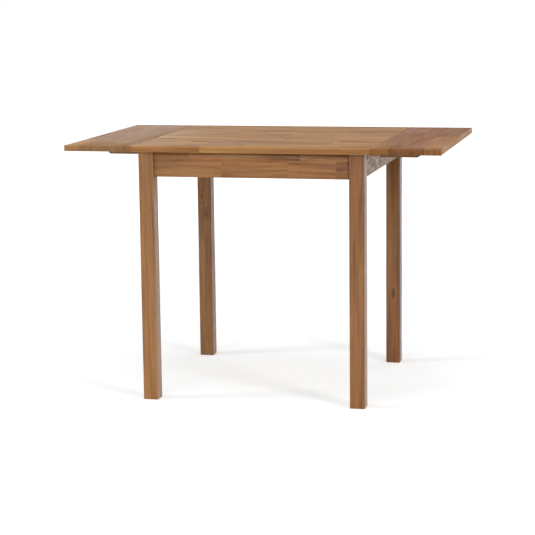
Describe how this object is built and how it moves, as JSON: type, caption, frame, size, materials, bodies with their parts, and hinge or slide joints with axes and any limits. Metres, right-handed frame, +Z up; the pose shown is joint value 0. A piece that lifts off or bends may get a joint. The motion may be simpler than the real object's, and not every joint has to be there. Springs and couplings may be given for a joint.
{
  "type": "drop leaf table",
  "caption": "Small wooden dining table with a square glued-lamella top, a hinged drop leaf at each end and pull-out bearers that hold the leaves up.",
  "frame": {"origin": "on the floor, under the middle of the table", "axes": "+Z up, +X along the table's length towards its right leaf, +Y from the front towards the back"},
  "size_m": [1.1, 0.7, 0.75],
  "materials": {
    "lamella_top": "oiled satin",
    "frame_wood": "oiled satin",
    "runner_wood": "oiled matt",
    "zinc_steel": "yellowed zinc plate"
  },
  "bodies": {
    "table_frame": {"main_top": "lamella_top", "leg_front_left": "frame_wood", "leg_front_right": "frame_wood", "leg_back_left": "frame_wood", "leg_back_right": "frame_wood", "apron_front": "frame_wood", "apron_back": "frame_wood", "apron_left": "frame_wood", "apron_right": "frame_wood", "corner_block_front_left": "runner_wood", "corner_block_front_right": "runner_wood", "corner_block_back_left": "runner_wood", "corner_block_back_right": "runner_wood", "leg_bolt_front_left": "zinc_steel", "leg_bolt_front_right": "zinc_steel", "leg_bolt_back_left": "zinc_steel", "leg_bolt_back_right": "zinc_steel", "leg_nut_front_left": "zinc_steel", "leg_nut_front_right": "zinc_steel", "leg_nut_back_left": "zinc_steel", "leg_nut_back_right": "zinc_steel", "top_bracket_front_left": "zinc_steel", "top_bracket_front_right": "zinc_steel", "top_bracket_back_left": "zinc_steel", "top_bracket_back_right": "zinc_steel", "bearer_guide_front_left": "runner_wood", "bearer_guide_front_right": "runner_wood", "bearer_guide_back_left": "runner_wood", "bearer_guide_back_right": "runner_wood", "hinge_fixed_front_left": "zinc_steel", "hinge_fixed_front_right": "zinc_steel", "hinge_fixed_back_left": "zinc_steel", "hinge_fixed_back_right": "zinc_steel", "hinge_pin_front_left": "zinc_steel", "hinge_pin_front_right": "zinc_steel", "hinge_pin_back_left": "zinc_steel", "hinge_pin_back_right": "zinc_steel"},
    "leaf_left": {"leaf_left": "lamella_top", "leaf_channel_front_left": "runner_wood", "leaf_channel_back_left": "runner_wood", "hinge_moving_front_left": "zinc_steel", "hinge_moving_back_left": "zinc_steel"},
    "leaf_right": {"leaf_right": "lamella_top", "leaf_channel_front_right": "runner_wood", "leaf_channel_back_right": "runner_wood", "hinge_moving_front_right": "zinc_steel", "hinge_moving_back_right": "zinc_steel"},
    "bearer_front_left": {"bearer_front_left": "runner_wood", "bearer_peg_front_left": "runner_wood"},
    "bearer_front_right": {"bearer_front_right": "runner_wood", "bearer_peg_front_right": "runner_wood"},
    "bearer_back_left": {"bearer_back_left": "runner_wood", "bearer_peg_back_left": "runner_wood"},
    "bearer_back_right": {"bearer_back_right": "runner_wood", "bearer_peg_back_right": "runner_wood"}
  },
  "joints": [
    {"name": "leaf_left_hinge", "type": "hinge", "parent": "table_frame", "child": "leaf_left", "pos_m": [-0.3503, 0, 0.7294], "axis": [0, -1, 0], "range_deg": [0, 96]},
    {"name": "leaf_right_hinge", "type": "hinge", "parent": "table_frame", "child": "leaf_right", "pos_m": [0.3503, 0, 0.7294], "axis": [0, 1, 0], "range_deg": [0, 96]},
    {"name": "bearer_front_left_slide", "type": "slide", "parent": "table_frame", "child": "bearer_front_left", "axis": [1, 0, 0], "range_m": [-0.099, 0]},
    {"name": "bearer_front_right_slide", "type": "slide", "parent": "table_frame", "child": "bearer_front_right", "axis": [-1, 0, 0], "range_m": [-0.099, 0]},
    {"name": "bearer_back_left_slide", "type": "slide", "parent": "table_frame", "child": "bearer_back_left", "axis": [1, 0, 0], "range_m": [-0.099, 0]},
    {"name": "bearer_back_right_slide", "type": "slide", "parent": "table_frame", "child": "bearer_back_right", "axis": [-1, 0, 0], "range_m": [-0.099, 0]}
  ]
}
